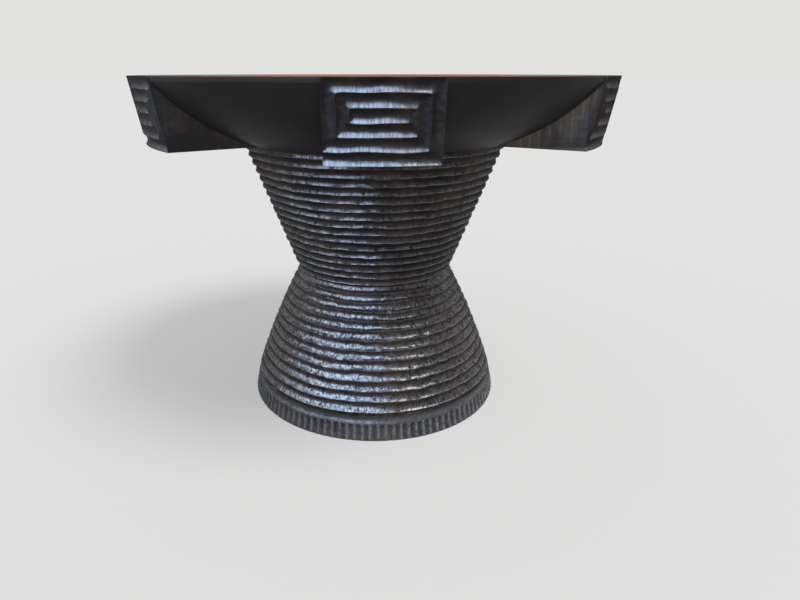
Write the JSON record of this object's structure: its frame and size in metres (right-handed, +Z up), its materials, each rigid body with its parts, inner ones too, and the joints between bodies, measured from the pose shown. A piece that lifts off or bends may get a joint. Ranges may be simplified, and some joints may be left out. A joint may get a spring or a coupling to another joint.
{
  "type": "drum table",
  "caption": "Carved wooden drum table: round top over a shallow turned bowl with spiral-carved lugs, on a ringed hourglass pedestal.",
  "frame": {"origin": "centre of the foot on the floor", "axes": "+Z up along the table's turning axis; the front lug faces -Y; +X to the right seen from the front"},
  "size_m": [1.0139, 1.02, 0.745],
  "materials": {
    "black_wood": "black-stained carved hardwood, waxed",
    "bowl_wood": "black-stained turned hardwood, polished satin",
    "top_wood": "reddish-brown polished hardwood",
    "bare_wood": "bare planed hardwood",
    "screw_steel": "zinc-plated steel"
  },
  "bodies": {
    "root": {"top_board": "top_wood", "top_battens": "bare_wood", "bowl": "bowl_wood", "lug_front": "black_wood", "lug_front_right": "black_wood", "lug_back_right": "black_wood", "lug_back": "black_wood", "lug_back_left": "black_wood", "lug_front_left": "black_wood", "lug_tongues": "bare_wood", "crown_screws": "screw_steel", "crown_washers": "screw_steel", "upper_drum": "black_wood", "waist_tenon": "bare_wood", "lower_drum": "black_wood", "base_board": "bare_wood"}
  },
  "joints": []
}
